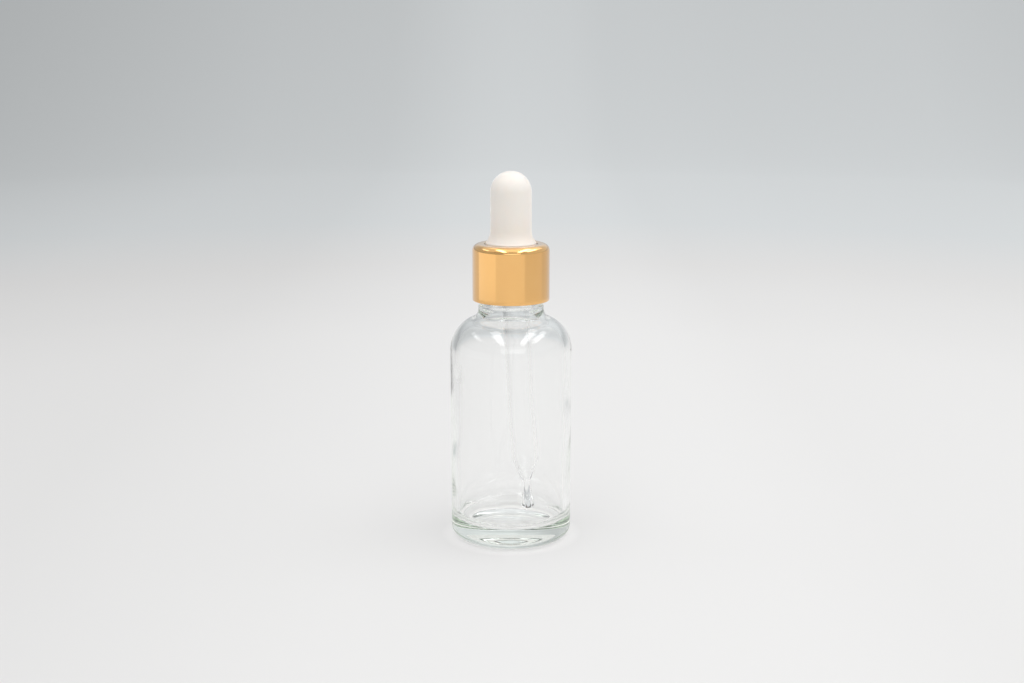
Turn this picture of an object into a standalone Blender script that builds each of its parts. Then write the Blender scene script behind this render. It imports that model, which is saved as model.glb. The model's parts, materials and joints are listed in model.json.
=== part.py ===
"""Dropper bottle: a 30 ml round glass bottle with a screw-on dropper closure.

Metres, +Z up. The bottle stands on Z = 0 with its axis on Z. The closure's
pieces hang from an empty at the glass lip, so their heights count from there.
"""

import math

import bmesh
import bpy
from mathutils import Vector

TURN_STEPS = 36
GAP = 0.00025

# Bottle body
BODY_RADIUS = 0.0165
BODY_HEIGHT = 0.0524
WALL = 0.0020
FLOOR_HEIGHT = 0.0051
FLOOR_CROWN = 0.0004
FLOOR_CORNER = 0.0034
HEEL_RADIUS = 0.0030
PUSH_UP = 0.0012
BEARING_WIDTH = 0.0011
SHOULDER_BEND = 0.0095
SHOULDER_WALL = 0.0022

# Neck and thread
BORE_CLEARANCE = 0.0019
NECK_WALL = 0.0024
RING_STAND_OUT = 0.00094
RING_HEIGHT = 0.00124
RING_FILLET = 0.0026
RING_EDGE = 0.0005
BORE_FILLET = 0.0080
FINISH_HEIGHT = 0.0118
LIP_EDGE = 0.0007
THREAD_PITCH = 0.003175
THREAD_DEPTH = 0.00085
THREAD_START = 0.0019
GLASS_TURNS = 1.1
CAP_TURNS = 0.9
CAP_LEAD_IN = 0.25
THREAD_FADE_TURNS = 0.08
RIDGE_FOOT = 0.0003
GLASS_RIDGE_HALF_WIDTHS = (0.0010, 0.00045)
CAP_RIDGE_HALF_WIDTHS = (0.00075, 0.00035)

# Closure
CAP_WALL = 0.0008
CAP_PANEL = 0.0010
CAP_RECESS = 0.00035
COLLAR_SHEET = 0.0004
COLLAR_HEIGHT = 0.01525
COLLAR_EDGE = 0.0019
WASHER_THICKNESS = 0.0008
WASHER_INSET = 0.0009

# Bulb
FLANGE_THICKNESS = 0.0015
FLANGE_INSET = 0.0005
CHAMBER_CLEARANCE = 0.00066
BULB_WALL = 0.0013
BULB_SEAT_STAND_OUT = 0.00129
BULB_STAND = 0.0194
BULB_FLARE_HEIGHT = 0.0036
BULB_SEAT_HEIGHT = 0.0002
BULB_GRIP = 0.0015
PILOT_RADIUS = 0.0022

# Pipette
PIPETTE_RADIUS = 0.0036
PIPETTE_WALL = 0.0009
PIPETTE_HEAD = 0.0013
PIPETTE_LEAN = math.radians(3.6)
TIP_CLEARANCE = 0.0029
STEM_RADIUS = 0.00132
STEM_LENGTH = 0.0075
STEM_BORE = 0.0006
TAPER_LENGTH = 0.0062
TIP_RADIUS = 0.0016
TIP_LENGTH = 0.0020
TIP_NECK = 0.0012

# Radii that fit over one another, from the pipette outwards
BULB_RADIUS = PIPETTE_RADIUS + CHAMBER_CLEARANCE + BULB_WALL
BULB_SEAT_RADIUS = BULB_RADIUS + BULB_SEAT_STAND_OUT
BORE_RADIUS = PIPETTE_RADIUS + BORE_CLEARANCE
NECK_RADIUS = BORE_RADIUS + NECK_WALL
RING_RADIUS = NECK_RADIUS + RING_STAND_OUT
THREAD_RADIUS = NECK_RADIUS + THREAD_DEPTH
CAP_INSIDE = THREAD_RADIUS + GAP
CAP_OUTSIDE = CAP_INSIDE + CAP_WALL
COLLAR_INSIDE = CAP_OUTSIDE + GAP
COLLAR_OUTSIDE = COLLAR_INSIDE + COLLAR_SHEET
BULB_HOLE = BULB_SEAT_RADIUS + GAP

# Heights above the glass lip, stacked upwards
WASHER_BASE = GAP
FLANGE_BASE = WASHER_BASE + WASHER_THICKNESS + GAP
PANEL_BASE = FLANGE_BASE + FLANGE_THICKNESS + GAP
PANEL_TOP = PANEL_BASE + CAP_PANEL
COLLAR_TOP = PANEL_TOP + GAP + COLLAR_SHEET
COLLAR_BASE = COLLAR_TOP - COLLAR_HEIGHT
GRIP_TOP = COLLAR_TOP + BULB_GRIP


def clear_scene():
    for old in list(bpy.data.objects):
        bpy.data.objects.remove(old, do_unlink=True)


def material(name, colour, roughness, metallic=0.0, transmission=0.0):
    made = bpy.data.materials.new(name)
    made.use_nodes = True
    shader = made.node_tree.nodes["Principled BSDF"]
    shader.inputs["Base Color"].default_value = (*colour, 1.0)
    shader.inputs["Roughness"].default_value = roughness
    shader.inputs["Metallic"].default_value = metallic
    shader.inputs["Transmission Weight"].default_value = transmission
    return made


def arc(centre_r, centre_z, radius, start, end, steps):
    """Points of an arc in the (radius, height) plane, both ends included."""
    angles = [start + (end - start) * k / steps for k in range(steps + 1)]
    return [
        (centre_r + radius * math.cos(a), centre_z + radius * math.sin(a))
        for a in angles
    ]


def rounded(*corners):
    """An outline through corners (radius, height[, fillet]); each fillet is an arc."""
    points = []
    for index, corner in enumerate(corners):
        if len(corner) == 2:
            points.append(corner)
            continue
        here = Vector(corner[:2])
        fillet = corner[2]
        before = (Vector(corners[index - 1][:2]) - here).normalized()
        after = (Vector(corners[(index + 1) % len(corners)][:2]) - here).normalized()
        half = before.angle(after) / 2
        centre = here + (before + after).normalized() * fillet / math.sin(half)
        start = here + before * fillet / math.tan(half) - centre
        end = here + after * fillet / math.tan(half) - centre
        swing = start.angle(end)
        steps = min(6, 2 + round(fillet / 0.001))
        for k in range(steps + 1):
            from_start = math.sin(swing * (1 - k / steps)) / math.sin(swing)
            from_end = math.sin(swing * k / steps) / math.sin(swing)
            points.append(tuple(centre + start * from_start + end * from_end))
    return points


def shoulder(body_radius, bend, neck_radius, fillet):
    """The convex bend at the top of the body and the concave fillet into a neck."""
    centre = body_radius - bend
    across = neck_radius + fillet - centre
    rise = math.sqrt((bend + fillet) ** 2 - across**2)
    meet = math.atan2(rise, across)
    convex = arc(centre, BODY_HEIGHT, bend, 0, meet, 8)
    concave = arc(
        neck_radius + fillet, BODY_HEIGHT + rise, fillet, meet + math.pi, math.pi, 3
    )
    return convex + concave[1:]


def add_object(name, bm, finish, parent=None):
    bmesh.ops.recalc_face_normals(bm, faces=bm.faces)
    mesh = bpy.data.meshes.new(name)
    bm.to_mesh(mesh)
    bm.free()
    mesh.shade_smooth()
    mesh.set_sharp_from_angle(angle=math.radians(35))
    if finish:
        mesh.materials.append(finish)
    made = bpy.data.objects.new(name, mesh)
    made.parent = parent
    bpy.context.scene.collection.objects.link(made)
    return made


def turned(name, outline, finish, closed=False, parent=None):
    """Spin an outline about Z. An open outline starts and ends on the axis."""
    bm = bmesh.new()
    verts = [bm.verts.new((radius, 0, height)) for radius, height in outline]
    ends = verts[1:] + verts[:1] if closed else verts[1:]
    edges = [bm.edges.new(pair) for pair in zip(verts, ends)]
    bmesh.ops.spin(
        bm,
        geom=verts + edges,
        cent=(0, 0, 0),
        axis=(0, 0, 1),
        angle=2 * math.pi,
        steps=TURN_STEPS,
        use_merge=True,
    )
    bmesh.ops.remove_doubles(bm, verts=bm.verts, dist=1e-7)
    return add_object(name, bm, finish, parent)


def thread_ridge(name, wall_radius, depth, half_widths, datum, first_turn, turns, parent):
    """A right-hand helical ridge; depth is outwards when positive, inwards when negative.

    half_widths are those at the wall and at the crest. datum is the height of the
    ridge's middle at turn 0. At both ends the crest sinks into the wall.
    """
    bm = bmesh.new()
    foot = wall_radius - math.copysign(RIDGE_FOOT, depth)
    sunk = wall_radius - math.copysign(RIDGE_FOOT / 2, depth)
    at_wall, at_crest = half_widths
    steps = round(turns * TURN_STEPS)
    sections = []
    for k in range(steps + 1):
        turn = first_turn + turns * k / steps
        height = datum + THREAD_PITCH * turn
        fade = min(1.0, turns * min(k, steps - k) / steps / THREAD_FADE_TURNS)
        crest = sunk + (wall_radius + depth - sunk) * fade
        angle = 2 * math.pi * turn
        outline = [
            (foot, -at_wall),
            (wall_radius, -at_wall),
            (crest, -at_crest),
            (crest, at_crest),
            (wall_radius, at_wall),
            (foot, at_wall),
        ]
        sections.append(
            [
                bm.verts.new((r * math.cos(angle), r * math.sin(angle), height + z))
                for r, z in outline
            ]
        )
    for section, following in zip(sections, sections[1:]):
        for i in range(len(section)):
            j = (i + 1) % len(section)
            bm.faces.new((section[i], section[j], following[j], following[i]))
    bm.faces.new(sections[0])
    bm.faces.new(sections[-1])
    return as_helper(add_object(name, bm, None, parent))


def as_helper(helper):
    helper.hide_render = True
    helper.display_type = "WIRE"
    return helper


def boolean(target, tool, operation):
    modifier = target.modifiers.new(f"{operation.lower()}_{tool.name}", "BOOLEAN")
    modifier.operation = operation
    modifier.object = tool


def glass_bottle(finish):
    """The bottle: push-up, heel, body, shoulder, neck ring, threaded finish and cavity."""
    bearing_outer = BODY_RADIUS - HEEL_RADIUS
    bearing_inner = bearing_outer - BEARING_WIDTH
    dome = (bearing_inner**2 + PUSH_UP**2) / (2 * PUSH_UP)
    spread = math.asin(bearing_inner / dome)
    push_up = arc(0, PUSH_UP - dome, dome, math.pi / 2, math.pi / 2 - spread, 4)
    push_up[0] = (0.0, PUSH_UP)
    heel = rounded(
        (bearing_inner, 0), (BODY_RADIUS, 0, HEEL_RADIUS), (BODY_RADIUS, BODY_HEIGHT)
    )
    outer = shoulder(BODY_RADIUS, SHOULDER_BEND, RING_RADIUS, RING_FILLET)
    ring_top = outer[-1][1] + RING_HEIGHT
    lip = ring_top + FINISH_HEIGHT
    inside_radius = BODY_RADIUS - WALL
    inner = shoulder(inside_radius, SHOULDER_BEND - SHOULDER_WALL, BORE_RADIUS, BORE_FILLET)
    neck = rounded(
        outer[-1],
        (RING_RADIUS, ring_top, RING_EDGE),
        (NECK_RADIUS, ring_top, RING_EDGE / 2),
        (NECK_RADIUS, lip, LIP_EDGE),
        (BORE_RADIUS, lip, LIP_EDGE),
        inner[-1],
    )
    cavity = rounded(
        inner[0],
        (inside_radius, FLOOR_HEIGHT, FLOOR_CORNER),
        (0.0, FLOOR_HEIGHT + FLOOR_CROWN),
    )
    outline = push_up[:-1] + heel[:-1] + outer[:-1] + neck[:-1] + inner[::-1][:-1] + cavity
    bottle = turned("glass_bottle", outline, finish)
    return bottle, lip


def glass_thread(closure):
    datum = -THREAD_START - GLASS_TURNS * THREAD_PITCH
    return thread_ridge(
        "glass_thread", NECK_RADIUS, THREAD_DEPTH, GLASS_RIDGE_HALF_WIDTHS,
        datum, 0.0, GLASS_TURNS, closure,
    )


def cap_thread(closure):
    """The cap's ridge, on the same helix as the glass ridge and half a pitch below it."""
    datum = -THREAD_START - (GLASS_TURNS + 0.5) * THREAD_PITCH
    return thread_ridge(
        "cap_thread", CAP_INSIDE, -THREAD_DEPTH, CAP_RIDGE_HALF_WIDTHS,
        datum, -CAP_LEAD_IN, CAP_TURNS, closure,
    )


def inner_cap(finish, closure):
    outline = rounded(
        (BULB_HOLE, PANEL_BASE),
        (CAP_INSIDE, PANEL_BASE, 0.0003),
        (CAP_INSIDE, COLLAR_BASE + CAP_RECESS),
        (CAP_OUTSIDE, COLLAR_BASE + CAP_RECESS, 0.0002),
        (CAP_OUTSIDE, PANEL_TOP, COLLAR_EDGE),
        (BULB_HOLE, PANEL_TOP),
    )
    return turned("inner_cap", outline, finish, closed=True, parent=closure)


def aluminium_collar(finish, closure):
    lower_edge = COLLAR_SHEET * 0.35
    outline = rounded(
        (BULB_HOLE, COLLAR_TOP - COLLAR_SHEET),
        (COLLAR_INSIDE, COLLAR_TOP - COLLAR_SHEET, COLLAR_EDGE - COLLAR_SHEET),
        (COLLAR_INSIDE, COLLAR_BASE, lower_edge),
        (COLLAR_OUTSIDE, COLLAR_BASE, lower_edge),
        (COLLAR_OUTSIDE, COLLAR_TOP, COLLAR_EDGE),
        (BULB_HOLE, COLLAR_TOP, lower_edge),
    )
    return turned("aluminium_collar", outline, finish, closed=True, parent=closure)


def rubber_bulb(finish, closure):
    """The bulb: dome, flared foot through the collar, clamped flange and air chamber."""
    apex = COLLAR_TOP + BULB_STAND
    dome_base = apex - BULB_RADIUS
    outside = arc(0, dome_base, BULB_RADIUS, math.pi / 2, 0, 8)
    outside[0] = (0.0, apex)
    height = BULB_FLARE_HEIGHT - BULB_SEAT_HEIGHT
    sweep = (height**2 + BULB_SEAT_STAND_OUT**2) / (2 * BULB_SEAT_STAND_OUT)
    flare = arc(
        BULB_RADIUS + sweep, COLLAR_TOP + BULB_FLARE_HEIGHT, sweep,
        math.pi, math.pi + math.asin(height / sweep), 4,
    )
    foot = rounded(
        flare[-1],
        (BULB_SEAT_RADIUS, FLANGE_BASE + FLANGE_THICKNESS),
        (CAP_INSIDE - FLANGE_INSET, FLANGE_BASE + FLANGE_THICKNESS, 0.0004),
        (CAP_INSIDE - FLANGE_INSET, FLANGE_BASE, 0.0004),
        (PILOT_RADIUS, FLANGE_BASE),
        (PILOT_RADIUS, GRIP_TOP),
    )
    chamber = BULB_RADIUS - BULB_WALL
    inside = arc(0, dome_base, chamber, 0, math.pi / 2, 6)
    inside[-1] = (0.0, dome_base + chamber)
    outline = outside + flare[:-1] + foot + [(chamber, GRIP_TOP)] + inside
    return turned("rubber_bulb", outline, finish, parent=closure)


def sealing_washer(finish, closure):
    outline = rounded(
        (PILOT_RADIUS, WASHER_BASE),
        (CAP_INSIDE - WASHER_INSET, WASHER_BASE, 0.0002),
        (CAP_INSIDE - WASHER_INSET, WASHER_BASE + WASHER_THICKNESS, 0.0002),
        (PILOT_RADIUS, WASHER_BASE + WASHER_THICKNESS),
    )
    return turned("sealing_washer", outline, finish, closed=True, parent=closure)


def glass_pipette(finish, closure, lip):
    """The tube, its taper, stem and tip, turned about its own axis, which leans."""
    length = (lip + GRIP_TOP - FLOOR_HEIGHT - TIP_CLEARANCE) / math.cos(PIPETTE_LEAN)
    tip = -length
    bore = PIPETTE_RADIUS - PIPETTE_WALL
    outline = rounded(
        (STEM_BORE, tip),
        (TIP_RADIUS, tip, 0.0007),
        (TIP_RADIUS, tip + TIP_LENGTH, 0.0006),
        (STEM_RADIUS, tip + TIP_LENGTH + TIP_NECK, 0.0010),
        (STEM_RADIUS, tip + STEM_LENGTH, 0.0020),
        (PIPETTE_RADIUS, tip + STEM_LENGTH + TAPER_LENGTH, 0.0030),
        (PIPETTE_RADIUS, PIPETTE_HEAD, 0.0003),
        (bore, PIPETTE_HEAD, 0.0003),
        (bore, tip + STEM_LENGTH + TAPER_LENGTH, 0.0030),
        (STEM_BORE, tip + STEM_LENGTH, 0.0015),
    )
    pipette = turned("glass_pipette", outline, finish, closed=True, parent=closure)
    lean_from_bulb(pipette)
    return pipette


def lean_from_bulb(piece):
    """Hang a piece from the bulb's grip, leaning so that its lower end is towards +X."""
    piece.location.z = GRIP_TOP
    piece.rotation_euler.y = -PIPETTE_LEAN


def pipette_hole(closure):
    """The hole that the leaning pipette needs through the bulb's foot and the washer."""
    radius = PIPETTE_RADIUS + GAP
    bottom = -GRIP_TOP - WASHER_THICKNESS
    hole = turned(
        "pipette_hole",
        [(0.0, bottom), (radius, bottom), (radius, PIPETTE_HEAD / 2), (0.0, PIPETTE_HEAD / 2)],
        None,
        parent=closure,
    )
    lean_from_bulb(hole)
    return as_helper(hole)


def build():
    clear_scene()
    glass = material("clear_glass", (0.93, 0.97, 0.95), 0.03, transmission=1.0)
    rubber = material("white_rubber", (0.86, 0.82, 0.78), 0.55)
    gold = material("gold_aluminium", (0.86, 0.55, 0.26), 0.25, metallic=1.0)
    plastic = material("white_plastic", (0.88, 0.88, 0.86), 0.4)
    soft_plastic = material("clear_plastic", (0.90, 0.90, 0.88), 0.5)

    bottle, lip = glass_bottle(glass)
    closure = bpy.data.objects.new("closure", None)
    closure.location.z = lip
    bpy.context.scene.collection.objects.link(closure)

    cap = inner_cap(plastic, closure)
    aluminium_collar(gold, closure)
    bulb = rubber_bulb(rubber, closure)
    washer = sealing_washer(soft_plastic, closure)
    glass_pipette(glass, closure, lip)

    boolean(bottle, glass_thread(closure), "UNION")
    boolean(cap, cap_thread(closure), "UNION")
    hole = pipette_hole(closure)
    boolean(bulb, hole, "DIFFERENCE")
    boolean(washer, hole, "DIFFERENCE")


build()
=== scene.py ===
"""The looks of the dropper bottle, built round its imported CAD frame.

Every piece is turned again at a fine pitch, in metres, from the frame's own boxes
and the sizes named below, and replaces the faceted CAD node of the same shape.
"""

import json
import math

import bmesh
import bpy
from mathutils import Matrix, Vector, noise


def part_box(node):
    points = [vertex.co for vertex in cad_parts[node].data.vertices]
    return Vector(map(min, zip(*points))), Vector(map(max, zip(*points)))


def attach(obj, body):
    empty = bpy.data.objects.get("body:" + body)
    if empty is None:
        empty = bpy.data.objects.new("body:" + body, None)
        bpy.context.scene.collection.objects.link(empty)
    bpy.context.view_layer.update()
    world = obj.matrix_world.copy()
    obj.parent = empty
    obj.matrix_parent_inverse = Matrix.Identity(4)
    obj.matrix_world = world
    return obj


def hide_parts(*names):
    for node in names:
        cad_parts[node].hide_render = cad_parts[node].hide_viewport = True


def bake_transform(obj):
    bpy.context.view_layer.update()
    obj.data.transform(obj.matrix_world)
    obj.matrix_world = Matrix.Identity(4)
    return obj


# Bottle, beyond what its box says
WALL = 0.0020
BODY_HEIGHT = 0.0524
FLOOR_HEIGHT = 0.0051
FLOOR_CROWN = 0.0004
FLOOR_CORNER = 0.0034
HEEL_RADIUS = 0.0030
PUSH_UP = 0.0012
PUSH_UP_STEP = 0.0004
PUSH_UP_RIM = 0.0012
BEARING_WIDTH = 0.0011
SHOULDER_BEND = 0.0095
SHOULDER_WALL = 0.0022
RING_RADIUS = 0.00884
RING_HEIGHT = 0.00124
RING_FILLET = 0.0026
RING_EDGE = 0.0006
NECK_RADIUS = 0.0079
BORE_RADIUS = 0.0055
BORE_FILLET = 0.0080
LIP_EDGE = 0.0007
INNER_WAVE = 0.00034
OUTER_WAVE = 0.00003
RIPPLE_SHARE = 0.18
WAVE_OFFSET = -0.1
# Heights between which the waves set in and die away
WAVES_START = (0.0075, 0.0140)
WAVES_END = (0.0500, 0.0585)
# Waves per metre across and upwards, and where in the noise they start
SWELL = (62, 48, 0)
INNER_RIPPLE = (150, 110, 9)
OUTER_RIPPLE = (120, 90, 4)
# A point this near to a wall's radius is on that wall
ON_WALL = 0.0001
# Where the wall settled thicker: turn from the front, height, reach round, reach up, depth
THICK_SPOTS = (
    (-84, 0.0290, 16, 0.0050, 0.00032),
    (84, 0.0395, 14, 0.0042, 0.00033),
    (88, 0.0180, 11, 0.0075, 0.00030),
    (-64, 0.0470, 7, 0.0020, 0.00016),
)

# Screw thread, shared by the neck and the cap
THREAD_PITCH = 0.003175
THREAD_DEPTH = 0.00085
THREAD_DATUM = -0.0019 - 1.1 * THREAD_PITCH
GLASS_TURNS = (0.0, 1.1)
CAP_TURNS = (-0.25, 0.65)
THREAD_FADE_TURNS = 0.08
GLASS_RIDGE_HALF_WIDTHS = (0.00045, 0.0010)
CAP_RIDGE_HALF_WIDTHS = (0.00035, 0.00075)

# Closure
GAP = 0.00025
# The washer's hole also has room for the pipette when the turned cap has raised it
WASHER_GAP = 0.00037
CAP_WALL = 0.0008
CAP_PANEL = 0.0010
COLLAR_SHEET = 0.0004
COLLAR_EDGE = 0.0019
COLLAR_ROLL = 0.00016
BULB_SEAT_RADIUS = 0.00685
BULB_HOLE = BULB_SEAT_RADIUS + GAP
FLANGE_THICKNESS = 0.0015
# How far round the leaning hole the washer and the bulb's grip give way
WASHER_EASE = 0.0020
BULB_EASE = 0.0010

# Bulb
BULB_RADIUS = 0.00556
BULB_WALL = 0.0013
BULB_FLARE_HEIGHT = 0.0036
BULB_SEAT_HEIGHT = 0.0002
BULB_GRIP = 0.0015

# Pipette
PIPETTE_RADIUS = 0.0036
PIPETTE_WALL = 0.0009
PIPETTE_HEAD = 0.0013
STEM_RADIUS = 0.00132
STEM_LENGTH = 0.0075
STEM_BORE = 0.0006
TAPER_LENGTH = 0.0062
TIP_RADIUS = 0.0016
TIP_LENGTH = 0.0020
TIP_NECK = 0.0012

# Camera, as it stood in front of the bottle
CAMERA_DISTANCE = 0.3787
CAMERA_HEIGHT = 0.1344
CAMERA_ASIDE = 0.00027
CAMERA_PITCH = 0.208
LENS_MM = 50.0
SENSOR_MM = 36.0

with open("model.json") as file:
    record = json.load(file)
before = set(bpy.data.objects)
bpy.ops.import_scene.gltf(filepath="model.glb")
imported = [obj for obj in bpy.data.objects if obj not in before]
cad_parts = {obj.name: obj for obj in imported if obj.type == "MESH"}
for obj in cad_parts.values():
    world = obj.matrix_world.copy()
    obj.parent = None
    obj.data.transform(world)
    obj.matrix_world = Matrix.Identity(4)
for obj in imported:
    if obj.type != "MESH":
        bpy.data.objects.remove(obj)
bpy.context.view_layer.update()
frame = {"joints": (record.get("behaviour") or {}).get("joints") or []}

# The pipette leans along the axis that it is lifted out on, and that axis crosses the
# bottle's at the top of the bulb's grip
LIFT = next(joint for joint in frame["joints"] if joint["name"] == "dropper_lift")
LEAN = Vector(LIFT["axis"]).normalized()
GRIP_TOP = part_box("aluminium_collar")[1].z + BULB_GRIP


# ---------------------------------------------------------------- outlines


def arc(centre_r, centre_z, radius, start, end, steps):
    """Points of an arc in the (radius, height) plane, both ends included."""
    angles = [start + (end - start) * k / steps for k in range(steps + 1)]
    return [
        (centre_r + radius * math.cos(a), centre_z + radius * math.sin(a))
        for a in angles
    ]


def rounded(*corners, steps=8):
    """An outline through corners (radius, height[, fillet]); each fillet is an arc."""
    points = []
    for index, corner in enumerate(corners):
        if len(corner) == 2:
            points.append(corner)
            continue
        here = Vector(corner[:2])
        fillet = corner[2]
        before = (Vector(corners[index - 1][:2]) - here).normalized()
        after = (Vector(corners[(index + 1) % len(corners)][:2]) - here).normalized()
        half = before.angle(after) / 2
        centre = here + (before + after).normalized() * fillet / math.sin(half)
        start = here + before * fillet / math.tan(half) - centre
        end = here + after * fillet / math.tan(half) - centre
        swing = start.angle(end)
        for k in range(steps + 1):
            from_start = math.sin(swing * (1 - k / steps)) / math.sin(swing)
            from_end = math.sin(swing * k / steps) / math.sin(swing)
            points.append(tuple(centre + start * from_start + end * from_end))
    return points


def spaced(points, spacing):
    """The same outline with extra points on each stretch longer than spacing."""
    result = [points[0]]
    for (r0, z0), (r1, z1) in zip(points, points[1:]):
        parts = max(1, math.ceil(math.hypot(r1 - r0, z1 - z0) / spacing))
        result += [
            (r0 + (r1 - r0) * k / parts, z0 + (z1 - z0) * k / parts)
            for k in range(1, parts + 1)
        ]
    return result


def shoulder(body_radius, bend, neck_radius, fillet):
    """The convex bend at the top of the body and the concave fillet into a neck."""
    centre = body_radius - bend
    across = neck_radius + fillet - centre
    rise = math.sqrt((bend + fillet) ** 2 - across**2)
    meet = math.atan2(rise, across)
    convex = arc(centre, BODY_HEIGHT, bend, 0, meet, 22)
    concave = arc(
        neck_radius + fillet, BODY_HEIGHT + rise, fillet, meet + math.pi, math.pi, 8
    )
    return convex + concave[1:]


# ---------------------------------------------------------------- meshes


def turned(name, outline, steps, closed=False, shape=None):
    """Revolve an outline about Z. shape(point) may move each point of the surface."""
    bm = bmesh.new()
    rings = []
    for radius, height in outline:
        if radius < 1e-7:
            rings.append([bm.verts.new((0, 0, height))] * steps)
            continue
        ring = []
        for k in range(steps):
            angle = 2 * math.pi * k / steps
            point = Vector((radius * math.cos(angle), radius * math.sin(angle), height))
            ring.append(bm.verts.new(shape(point) if shape else point))
        rings.append(ring)
    following = rings[1:] + rings[:1] if closed else rings[1:]
    for ring, after in zip(rings, following):
        for k in range(steps):
            j = (k + 1) % steps
            corners = dict.fromkeys((ring[k], ring[j], after[j], after[k]))
            if len(corners) > 2:
                bm.faces.new(corners)
    bmesh.ops.recalc_face_normals(bm, faces=bm.faces)
    mesh = bpy.data.meshes.new(name)
    bm.to_mesh(mesh)
    bm.free()
    mesh.shade_smooth()
    piece = bpy.data.objects.new(name, mesh)
    bpy.context.scene.collection.objects.link(piece)
    return piece


def smooth_step(value, low, high):
    t = min(1.0, max(0.0, (value - low) / (high - low)))
    return t * t * (3 - 2 * t)


def thread_share(point, datum, turns, half_widths):
    """How much of the thread's depth stands at this point of a wall: 0 to 1."""
    first, last = turns
    crest, foot = half_widths
    angle = math.atan2(point.y, point.x) / (2 * math.pi)
    share = 0.0
    for whole in range(math.floor(first) - 1, math.ceil(last) + 2):
        turn = angle + whole
        if not first <= turn <= last:
            continue
        fade = smooth_step(min(turn - first, last - turn), 0, THREAD_FADE_TURNS)
        off = abs(point.z - datum - THREAD_PITCH * turn)
        share = max(share, fade * (1 - smooth_step(off, crest, foot)))
    return share


def waves(point, kind):
    """Smooth noise between -1 and 1, of one of the kinds of waves named above."""
    across, upwards, start = kind
    return noise.noise(
        Vector((point.x * across, point.y * across, point.z * upwards + start))
    )


def settled_glass(point):
    """How much thicker the wall is at this point, from the spots where it settled."""
    turn = math.degrees(math.atan2(point.x, -point.y))
    depth = 0.0
    for at, height, around, up, most in THICK_SPOTS:
        away = ((turn - at) / around) ** 2 + ((point.z - height) / up) ** 2
        depth += most * math.exp(-away)
    return depth


def moved_out(point, distance):
    """The point moved away from the Z axis by a distance."""
    radius = math.hypot(point.x, point.y)
    scale = (radius + distance) / radius
    return Vector((point.x * scale, point.y * scale, point.z))


# ---------------------------------------------------------------- pieces


def aside_at(height):
    """How far the pipette's axis stands towards +X at a height."""
    return LEAN.x / LEAN.z * (height - GRIP_TOP)


def place(piece, node, body, finish):
    """Give a piece its finish and slot, and let it stand for a CAD node."""
    piece.data.materials.append(finish)
    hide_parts(node)
    if body:
        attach(piece, body)


def glass_bottle(finish):
    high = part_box("glass_bottle")[1]
    body_radius = high.x
    lip = high.z
    inside = body_radius - WALL
    bearing_outer = body_radius - HEEL_RADIUS
    bearing_inner = bearing_outer - BEARING_WIDTH
    dome_edge = bearing_inner - PUSH_UP_RIM
    dome = (dome_edge**2 + PUSH_UP**2) / (2 * PUSH_UP)
    spread = math.asin(dome_edge / dome)
    centre = PUSH_UP - dome + PUSH_UP_STEP
    push_up = arc(0, centre, dome, math.pi / 2, math.pi / 2 - spread, 16)
    push_up[0] = (0.0, PUSH_UP + PUSH_UP_STEP)
    under = rounded(
        push_up[-1],
        (dome_edge + 0.0003, 0.0, 0.0002),
        (body_radius, 0.0, HEEL_RADIUS),
        (body_radius, BODY_HEIGHT),
        steps=12,
    )
    outer = shoulder(body_radius, SHOULDER_BEND, RING_RADIUS, RING_FILLET)
    inner = shoulder(inside, SHOULDER_BEND - SHOULDER_WALL, BORE_RADIUS, BORE_FILLET)
    ring_top = outer[-1][1] + RING_HEIGHT
    neck = rounded(
        outer[-1],
        (RING_RADIUS, ring_top, RING_EDGE),
        (NECK_RADIUS, ring_top, RING_EDGE / 2),
        (NECK_RADIUS, lip, LIP_EDGE),
        (BORE_RADIUS, lip, LIP_EDGE),
        inner[-1],
    )
    cavity = rounded(
        inner[0],
        (inside, FLOOR_HEIGHT, FLOOR_CORNER),
        (0.0, FLOOR_HEIGHT + FLOOR_CROWN),
        steps=14,
    )
    outline = (
        spaced(push_up, 0.0006)[:-1]
        + spaced(under, 0.0007)[:-1]
        + outer[:-1]
        + spaced(neck, 0.00014)[:-1]
        + inner[::-1][:-1]
        + spaced(cavity, 0.0007)
    )

    between_walls = inside + 0.0003
    neck_bore = BORE_RADIUS + 0.0005

    def hand_made(point):
        """The neck's thread, and walls that run a little wavy, as blown glass does."""
        radius = math.hypot(point.x, point.y)
        if abs(radius - NECK_RADIUS) < ON_WALL and point.z > ring_top:
            share = thread_share(
                point, lip + THREAD_DATUM, GLASS_TURNS, GLASS_RIDGE_HALF_WIDTHS
            )
            return moved_out(point, THREAD_DEPTH * share)
        starts = smooth_step(point.z, *WAVES_START)
        wavy = starts * (1 - smooth_step(point.z, *WAVES_END))
        above_floor = point.z > FLOOR_HEIGHT + ON_WALL
        if above_floor and neck_bore < radius < between_walls:
            wave = waves(point, SWELL) + RIPPLE_SHARE * waves(point, INNER_RIPPLE)
            outwards = INNER_WAVE * wavy * (wave + WAVE_OFFSET)
            return moved_out(point, outwards - settled_glass(point))
        if radius > between_walls:
            return moved_out(point, wavy * OUTER_WAVE * waves(point, OUTER_RIPPLE))
        return point

    bottle = turned("bottle_glass_body", outline, 256, shape=hand_made)
    place(bottle, "glass_bottle", "bottle", finish)


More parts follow.
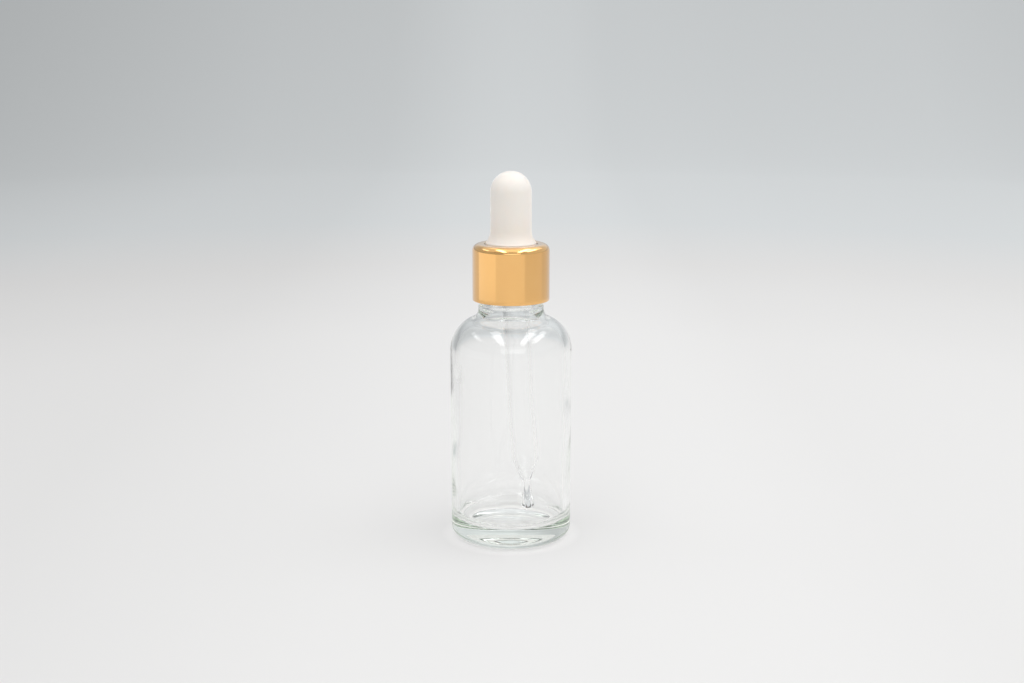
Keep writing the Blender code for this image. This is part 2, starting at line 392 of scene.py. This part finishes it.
def glass_pipette(finish):
    """The tube and its drawn tip, leaning along the axis that it is lifted out on."""
    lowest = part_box("glass_pipette")[0].z
    tip = TIP_RADIUS * math.sqrt(1 - LEAN.z**2) - (GRIP_TOP - lowest) / LEAN.z
    bore = PIPETTE_RADIUS - PIPETTE_WALL
    taper_top = tip + STEM_LENGTH + TAPER_LENGTH
    outline = rounded(
        (STEM_BORE, tip),
        (TIP_RADIUS, tip, 0.0007),
        (TIP_RADIUS, tip + TIP_LENGTH, 0.0006),
        (STEM_RADIUS, tip + TIP_LENGTH + TIP_NECK, 0.0010),
        (STEM_RADIUS, tip + STEM_LENGTH, 0.0020),
        (PIPETTE_RADIUS, taper_top, 0.0030),
        (PIPETTE_RADIUS, PIPETTE_HEAD, 0.0003),
        (bore, PIPETTE_HEAD, 0.0003),
        (bore, taper_top, 0.0030),
        (STEM_BORE, tip + STEM_LENGTH, 0.0015),
        steps=10,
    )
    pipette = turned("pipette_glass_tube", spaced(outline, 0.002), 96, closed=True)
    tilt = Vector((0, 0, 1)).rotation_difference(LEAN).to_matrix().to_4x4()
    pipette.data.transform(Matrix.Translation((0, 0, GRIP_TOP)) @ tilt)
    place(pipette, "glass_pipette", "dropper", finish)


def aluminium_collar(finish):
    low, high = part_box("aluminium_collar")
    outside = high.x
    inside = outside - COLLAR_SHEET
    outline = rounded(
        (BULB_HOLE, high.z - COLLAR_SHEET, COLLAR_ROLL),
        (inside, high.z - COLLAR_SHEET, COLLAR_EDGE - COLLAR_SHEET),
        (inside, low.z, COLLAR_ROLL),
        (outside, low.z, COLLAR_ROLL),
        (outside, high.z, COLLAR_EDGE),
        (BULB_HOLE, high.z, COLLAR_ROLL),
        steps=10,
    )
    closed_outline = spaced(outline + outline[:1], 0.001)[:-1]
    collar = turned("collar_gold_shell", closed_outline, 256, closed=True)
    place(collar, "aluminium_collar", "cap", finish)


def inner_cap(finish):
    low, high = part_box("inner_cap")
    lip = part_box("glass_bottle")[1].z
    outside = high.x
    inside = outside - CAP_WALL
    panel_base = high.z - CAP_PANEL
    outline = rounded(
        (BULB_HOLE, panel_base, 0.0001),
        (inside, panel_base, 0.0003),
        (inside, low.z, 0.00015),
        (outside, low.z, 0.00025),
        (outside, high.z, 0.0010),
        (BULB_HOLE, high.z, 0.0001),
        steps=6,
    )

    def threaded(point):
        """The cap's thread stands inwards, half a pitch under the neck's."""
        radius = math.hypot(point.x, point.y)
        between = low.z + 0.0003 < point.z < panel_base - 0.0004
        if abs(radius - inside) > ON_WALL / 2 or not between:
            return point
        share = thread_share(
            point,
            lip + THREAD_DATUM - THREAD_PITCH / 2,
            CAP_TURNS,
            CAP_RIDGE_HALF_WIDTHS,
        )
        return moved_out(point, -THREAD_DEPTH * share)

    cap = turned("cap_white_liner", spaced(outline, 0.00016), 192, closed=True, shape=threaded)
    place(cap, "inner_cap", "cap", finish)


def sealing_washer(finish):
    low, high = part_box("sealing_washer")
    aside = aside_at((low.z + high.z) / 2)
    hole = PIPETTE_RADIUS + WASHER_GAP
    outline = rounded(
        (hole, low.z, 0.0001),
        (high.x, low.z, 0.0002),
        (high.x, high.z, 0.0002),
        (hole, high.z, 0.0001),
        steps=4,
    )

    def off_centre(point):
        """The hole follows the leaning pipette, and the rim stays round about Z."""
        radius = math.hypot(point.x, point.y)
        share = 1 - smooth_step(radius, hole, hole + WASHER_EASE)
        return Vector((point.x + aside * share, point.y, point.z))

    washer = turned(
        "washer_soft_ring", spaced(outline + outline[:1], 0.0004)[:-1], 128,
        closed=True, shape=off_centre,
    )
    place(washer, "sealing_washer", "washer", finish)


def rubber_bulb(finish):
    low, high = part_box("rubber_bulb")
    collar_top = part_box("aluminium_collar")[1].z
    dome_base = high.z - BULB_RADIUS
    flange_top = low.z + FLANGE_THICKNESS
    hole = PIPETTE_RADIUS + GAP
    chamber = BULB_RADIUS - BULB_WALL
    outside = arc(0, dome_base, BULB_RADIUS, math.pi / 2, 0, 24)
    outside[0] = (0.0, high.z)
    height = BULB_FLARE_HEIGHT - BULB_SEAT_HEIGHT
    stand_out = BULB_SEAT_RADIUS - BULB_RADIUS
    sweep = (height**2 + stand_out**2) / (2 * stand_out)
    flare = arc(
        BULB_RADIUS + sweep, collar_top + BULB_FLARE_HEIGHT, sweep,
        math.pi, math.pi + math.asin(height / sweep), 12,
    )
    foot = rounded(
        flare[-2],
        (BULB_SEAT_RADIUS, collar_top + BULB_SEAT_HEIGHT, 0.00015),
        (BULB_SEAT_RADIUS, flange_top, 0.00015),
        (high.x, flange_top, 0.0004),
        (high.x, low.z, 0.0004),
        (hole, low.z, 0.0002),
        (hole, GRIP_TOP, 0.0002),
        (chamber, GRIP_TOP, 0.0003),
        steps=8,
    )
    inside = arc(0, dome_base, chamber, 0, math.pi / 2, 16)
    inside[-1] = (0.0, dome_base + chamber)
    outline = spaced(outside + flare[:-2] + foot + inside, 0.0006)

    above_grip = GRIP_TOP + 0.0004

    def bored(point):
        """The grip's bore follows the leaning pipette."""
        radius = math.hypot(point.x, point.y)
        if point.z > above_grip or radius > hole + BULB_EASE:
            return point
        share = 1 - smooth_step(radius, hole, hole + BULB_EASE)
        return Vector((point.x + aside_at(point.z) * share, point.y, point.z))

    bulb = turned("bulb_rubber_teat", outline, 160, shape=bored)
    place(bulb, "rubber_bulb", None, finish)
    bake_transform(bulb)


# ---------------------------------------------------------------- materials


class Nodes:
    """A material's node tree, with short calls to add and join its nodes."""

    def __init__(self, name):
        self.material = bpy.data.materials.new(name)
        self.material.use_nodes = True
        self.tree = self.material.node_tree
        self.shader = self.tree.nodes["Principled BSDF"]
        self.output = self.tree.nodes["Material Output"]

    def add(self, kind, **values):
        """A node of this kind. Values name its properties, or its input sockets."""
        node = self.tree.nodes.new(kind)
        for key, value in values.items():
            if hasattr(node, key):
                setattr(node, key, value)
            else:
                self.give(node, key.replace("_", " "), value)
        return node

    def give(self, node, socket, value):
        """Set an input, or link another node's output to it."""
        target = node.inputs[socket]
        if isinstance(value, bpy.types.NodeSocket):
            self.tree.links.new(value, target)
        else:
            target.default_value = value

    def surface(self, **values):
        """Set or link the shader's own inputs."""
        for key, value in values.items():
            self.give(self.shader, key.replace("_", " "), value)

    def place(self):
        """Where a point is on its own piece."""
        return self.add("ShaderNodeTexCoord").outputs["Object"]

    def noise(self, vector, scale, detail=3.0):
        node = self.add("ShaderNodeTexNoise", Scale=scale, Detail=detail, Roughness=0.5)
        self.give(node, "Vector", vector)
        return node.outputs["Fac"]

    def ranged(self, value, low, high):
        """A 0 to 1 value mapped between low and high."""
        node = self.add("ShaderNodeMapRange", Value=value, To_Min=low, To_Max=high)
        return node.outputs["Result"]

    def ranged_from(self, value, low, high):
        """A value between low and high mapped to 0 to 1."""
        node = self.add("ShaderNodeMapRange", Value=value, From_Min=low, From_Max=high)
        return node.outputs["Result"]

    def length(self, vector):
        node = self.add("ShaderNodeVectorMath", operation="LENGTH")
        self.give(node, 0, vector)
        return node.outputs["Value"]

    def split(self, vector):
        """The vector's X, Y and Z sockets."""
        node = self.add("ShaderNodeSeparateXYZ")
        self.give(node, 0, vector)
        return node.outputs

    def joined(self, **parts):
        """A vector from its X, Y or Z."""
        return self.add("ShaderNodeCombineXYZ", **parts).outputs[0]

    def multiplied(self, first, second):
        """Two colours multiplied."""
        node = self.add("ShaderNodeMix", data_type="RGBA", blend_type="MULTIPLY")
        self.give(node, 0, 1.0)
        self.give(node, 6, first)
        self.give(node, 7, second)
        return node.outputs[2]

    def mix_colour(self, share, first, second):
        node = self.add("ShaderNodeMix", data_type="RGBA")
        self.give(node, 0, share)
        self.give(node, 6, (*first, 1.0))
        self.give(node, 7, (*second, 1.0))
        return node.outputs[2]

    def bump(self, height, distance, strength=1.0):
        node = self.add("ShaderNodeBump", Strength=strength, Distance=distance, Height=height)
        return node.outputs["Normal"]


def clear_glass(name, ior, tint, density, ripple):
    """Clear glass with faint swirls, tinted only by how far the light travels in it."""
    nodes = Nodes(name)
    where = nodes.place()
    swirl = nodes.noise(where, 140.0, detail=2.0)
    nodes.surface(
        Base_Color=(1.0, 1.0, 1.0, 1.0),
        Roughness=0.0,
        IOR=ior,
        Transmission_Weight=1.0,
        Normal=nodes.bump(swirl, ripple),
    )
    absorb = nodes.add("ShaderNodeVolumeAbsorption", Color=(*tint, 1.0), Density=density)
    nodes.give(nodes.output, "Volume", absorb.outputs[0])
    return nodes.material


def gold_aluminium():
    """Polished and gold anodised, with fine turning lines round the side and top."""
    nodes = Nodes("gold_anodised_aluminium")
    where = nodes.place()
    part = nodes.split(where)
    radius = nodes.length(nodes.joined(X=part["X"], Y=part["Y"]))
    lines = nodes.noise(nodes.joined(X=radius, Z=part["Z"]), 9000.0, detail=2.0)
    cloud = nodes.noise(where, 160.0)
    nodes.surface(
        Base_Color=nodes.mix_colour(cloud, (0.915, 0.51, 0.170), (0.94, 0.545, 0.193)),
        Metallic=1.0,
        Roughness=nodes.ranged(cloud, 0.10, 0.17),
        Normal=nodes.bump(lines, 0.0000012),
        Coat_Weight=1.0,
        Coat_Roughness=0.08,
        Coat_IOR=1.45,
    )
    return nodes.material


def white_rubber():
    """Soft off-white rubber: a fine matte grain, faint clouds and a little depth."""
    nodes = Nodes("off_white_rubber")
    where = nodes.place()
    cloud = nodes.noise(where, 90.0, detail=4.0)
    grain = nodes.noise(where, 4200.0, detail=2.0)
    nodes.surface(
        Base_Color=nodes.mix_colour(cloud, (0.832, 0.777, 0.718), (0.862, 0.807, 0.748)),
        Roughness=nodes.ranged(cloud, 0.48, 0.60),
        Normal=nodes.bump(grain, 0.000012, 0.6),
        Subsurface_Weight=0.25,
        Subsurface_Radius=(1.0, 0.75, 0.6),
        Subsurface_Scale=0.0012,
        Sheen_Weight=1.0,
        Sheen_Roughness=0.4,
    )
    return nodes.material


def moulded_plastic(name, light, dark, depth):
    """A satin moulded plastic with faint flow clouds and a fine sparked grain."""
    nodes = Nodes(name)
    where = nodes.place()
    cloud = nodes.noise(where, 120.0, detail=4.0)
    grain = nodes.noise(where, 5200.0, detail=2.0)
    nodes.surface(
        Base_Color=nodes.mix_colour(cloud, dark, light),
        Roughness=nodes.ranged(cloud, 0.32, 0.45),
        Normal=nodes.bump(grain, 0.000008, 0.5),
        Subsurface_Weight=depth,
        Subsurface_Scale=0.001,
    )
    return nodes.material


# ---------------------------------------------------------------- studio


def colour_stops(node, stops):
    """Fill a colour ramp with (position, colour) stops."""
    ramp = node.color_ramp
    while len(ramp.elements) < len(stops):
        ramp.elements.new(0.5)
    for element, (at, colour) in zip(ramp.elements, stops):
        element.position = at
        element.color = (*colour, 1.0)


def studio_ground():
    """A round sweep: a flat table that curves up into a wall on every side. Its colour holds
    painted light and shade, and it glows with painted light of its own.
    """
    flat, bend, wall = 1.1, 0.35, 0.9
    outline = (
        [(0.0, 0.0)]
        + [(flat * k / 30, 0.0) for k in range(1, 30)]
        + arc(flat, bend, bend, -math.pi / 2, 0, 16)
        + [(flat + bend, bend + wall)]
    )
    ground = turned("studio_sweep", outline, 96)
    nodes = Nodes("pale_paper_painted_light")
    where = nodes.place()
    reach = 5 / 3
    distance = nodes.ranged_from(nodes.length(where), 0.0, reach)
    far = nodes.add("ShaderNodeValToRGB", Fac=distance)
    # By shares of that reach: a bright disc of painted light under the bottle, the table,
    # which greys with painted shade towards its far bend, and a brighter wall above it
    near, distant = (1.0, 0.99, 0.982), (0.962, 0.99, 1.0)
    painted_light_by_distance = (
        (0.0, 1.0, near),
        (0.0090, 1.0, near),
        (0.0102, 0.822, near),
        (0.168, 0.832, near),
        (0.24, 0.812, near),
        (0.30, 0.785, near),
        (0.42, 0.765, distant),
        (0.66, 0.765, distant),
        (0.88, 0.680, distant),
        (0.91, 0.950, distant),
        (1.00, 0.950, distant),
    )
    colour_stops(far, [(at, [grey * c for c in tone]) for at, grey, tone in painted_light_by_distance])
    half_width = 0.7
    painted_shade_sideways = nodes.ranged_from(nodes.split(where)["X"], -half_width, half_width)
    side = nodes.add("ShaderNodeValToRGB", Fac=painted_shade_sideways)
    # Painted shade, from the left to the right, darkest on the far left
    across = (
        (0.0, 0.66), (0.10, 0.72), (0.17, 0.765), (0.30, 0.852), (0.40, 0.884),
        (0.44, 0.94), (0.47, 0.98), (0.50, 1.0), (0.55, 0.99), (0.58, 0.958),
        (0.62, 0.958), (0.69, 0.948), (0.83, 0.945), (1.0, 0.855),
    )
    colour_stops(side, [(at, [share] * 3) for at, share in across])
    paper_and_painted_light = nodes.multiplied(far.outputs["Color"], side.outputs["Color"])
    fibre = nodes.noise(where, 900.0, detail=3.0)
    # The paper glows with painted light of its own, which fades the shadows cast on it and
    # brightens the bottle's base from below; only lit_share of its colour answers the lamps
    lit_share = (0.38, 0.38, 0.38, 1.0)
    nodes.surface(
        Base_Color=nodes.multiplied(paper_and_painted_light, lit_share),
        Emission_Color=paper_and_painted_light,
        Emission_Strength=0.58,
        Roughness=0.75,
        Normal=nodes.bump(fibre, 0.00002, 0.3),
        Specular_IOR_Level=0.25,
    )
    ground.data.materials.append(nodes.material)


def area_lamp(name, size, power, location):
    """A rectangular lamp that faces down, which the camera doesn't see."""
    lamp = bpy.data.lights.new(name, "AREA")
    lamp.shape = "RECTANGLE"
    lamp.size, lamp.size_y = size
    lamp.energy = power
    held = bpy.data.objects.new(name, lamp)
    held.location = location
    held.visible_camera = False
    bpy.context.scene.collection.objects.link(held)
    return held


def ceiling_lamp(name, x, front, back, radiance):
    """A strip lamp above the table, parallel to Y."""
    width, height, length = 0.16, 0.75, back - front
    power = radiance * math.pi * width * length
    area_lamp(name, (width, length), power, (x, (front + back) / 2, height))


def front_fill():
    """A wide soft light behind the camera, turned towards the bottle."""
    held = area_lamp("front_fill", (1.2, 0.7), 2.3, (0.1, -1.2, 0.72))
    aim = Vector((0, 0, 0.08)) - held.location
    held.rotation_euler = aim.to_track_quat("-Z", "Y").to_euler()


def reflection_card(name, corners, radiance):
    """A strip of glowing card, seen only in reflections, through pairs of corners."""
    bm = bmesh.new()
    columns = [[bm.verts.new(corner) for corner in pair] for pair in corners]
    for a, b in zip(columns, columns[1:]):
        bm.faces.new((a[0], b[0], b[1], a[1]))
    mesh = bpy.data.meshes.new(name)
    bm.to_mesh(mesh)
    bm.free()
    card = bpy.data.objects.new(name, mesh)
    bpy.context.scene.collection.objects.link(card)
    nodes = Nodes(name)
    glow = nodes.add("ShaderNodeEmission", Strength=radiance)
    nodes.give(nodes.output, "Surface", glow.outputs[0])
    mesh.materials.append(nodes.material)
    card.visible_camera = False
    card.visible_diffuse = False
    card.visible_transmission = False
    card.visible_volume_scatter = False
    card.visible_shadow = False


def round_the_table(turn, heights, reach):
    """Pairs of corners on an upright arc; 0 degrees faces the front."""
    steps = 24
    pairs = []
    for k in range(steps + 1):
        angle = math.radians(turn[0] + (turn[1] - turn[0]) * k / steps)
        x, y = reach * math.sin(angle), -reach * math.cos(angle)
        pairs.append([(x, y, z) for z in heights])
    return pairs


def studio():
    world = bpy.data.worlds.new("studio_air")
    bpy.context.scene.world = world
    world.use_nodes = True
    sky = world.node_tree.nodes["Background"]
    sky.inputs["Color"].default_value = (0.97, 0.985, 1.0, 1.0)
    sky.inputs["Strength"].default_value = 0.85
    studio_ground()
    # Four long lamps overhead, running from front to back
    for name, x, front, back, radiance in (
        ("far_left_lamp", -0.76, -0.05, 0.40, 2.0),
        ("left_lamp", -0.25, -0.65, 0.05, 3.6),
        ("right_lamp", 0.32, -0.62, 0.23, 3.6),
        ("far_right_lamp", 0.58, -0.34, 0.29, 3.6),
    ):
        ceiling_lamp(name, x, front, back, radiance)
    front_fill()
    # Low cards round the bottle, the dim room beyond them and a panel overhead: the turns
    # between which each stands, its heights, its distance and its radiance
    low = (0.0, 0.12)
    for name, turn, heights, reach, radiance in (
        ("left_card", (-109, -45), low, 0.36, 1.05),
        ("left_side_card", (-165, -109), low, 0.36, 0.72),
        ("front_card", (-45, 40.5), low, 0.36, 0.90),
        ("right_card", (40.5, 102), low, 0.36, 0.74),
        ("right_side_card", (102, 165), low, 0.36, 0.66),
        ("dim_room", (-60, 60), (0.32, 0.55), 0.50, 0.45),
    ):
        reflection_card(name, round_the_table(turn, heights, reach), radiance)
    overhead = [[(x, -0.45, 0.9), (x, 0.9, 0.9)] for x in (-0.35, 0.95)]
    reflection_card("overhead_panel", overhead, 1.25)


def camera():
    lens = bpy.data.cameras.new("front_camera")
    lens.lens = LENS_MM
    lens.sensor_width = SENSOR_MM
    lens.clip_start = 0.01
    view = bpy.data.objects.new("front_camera", lens)
    view.location = (CAMERA_ASIDE, -CAMERA_DISTANCE, CAMERA_HEIGHT)
    view.rotation_euler = (math.pi / 2 - CAMERA_PITCH, 0, 0)
    bpy.context.scene.collection.objects.link(view)
    bpy.context.scene.camera = view


# ---------------------------------------------------------------- the scene

for old in [o for o in bpy.context.scene.objects if o.type in ("LIGHT", "CAMERA")]:
    bpy.data.objects.remove(old)
startup_cube = bpy.data.objects.get("Cube")
if startup_cube:
    bpy.data.objects.remove(startup_cube)

camera()
studio()
glass_bottle(clear_glass("bottle_glass_clear", 1.52, (0.50, 0.90, 0.42), 2.6, 0.000006))
glass_pipette(clear_glass("pipette_glass_clear", 1.47, (0.65, 0.90, 0.60), 2.0, 0.000001))
aluminium_collar(gold_aluminium())
inner_cap(moulded_plastic("white_polypropylene", (0.86, 0.86, 0.84), (0.82, 0.82, 0.80), 0.3))
sealing_washer(
    moulded_plastic("natural_polyethylene", (0.84, 0.85, 0.84), (0.80, 0.81, 0.80), 0.5)
)
rubber_bulb(white_rubber())

bpy.context.scene.view_settings.view_transform = "Standard"

# Light crosses up to eight glass walls and is turned back many times inside the base
paths = bpy.context.scene.cycles
paths.max_bounces = 40
paths.transmission_bounces = 40
paths.glossy_bounces = 24
